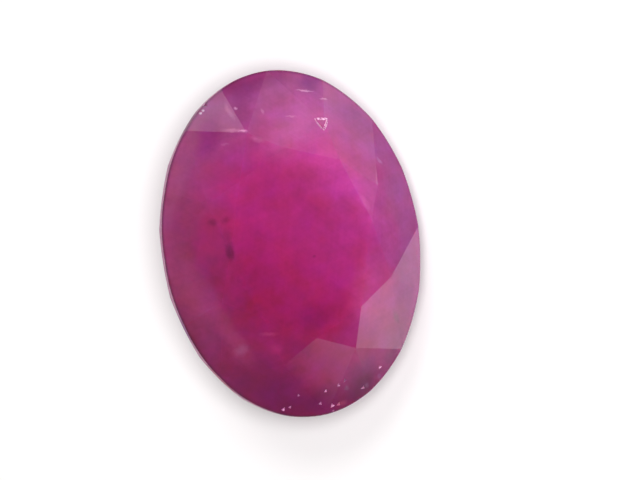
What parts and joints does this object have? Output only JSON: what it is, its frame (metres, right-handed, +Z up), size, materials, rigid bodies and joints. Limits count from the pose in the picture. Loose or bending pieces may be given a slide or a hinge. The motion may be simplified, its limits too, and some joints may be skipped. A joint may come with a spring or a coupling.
{
  "type": "faceted oval ruby gemstone",
  "caption": "Loose oval mixed-cut ruby, clouded pinkish red, with a brilliant crown over a step-cut pavilion, lying on one of its lowest facets.",
  "frame": {"origin": "centre of the bounding box's base, on the surface that the stone lies on", "axes": "+Z up, away from that surface; +Y along the stone's length; +X towards the side that the table leans to"},
  "size_m": [0.0074, 0.0106, 0.0055],
  "materials": {
    "ruby": "polished facets over a clouded body"
  },
  "bodies": {
    "root": {"ruby": "ruby"}
  },
  "joints": []
}
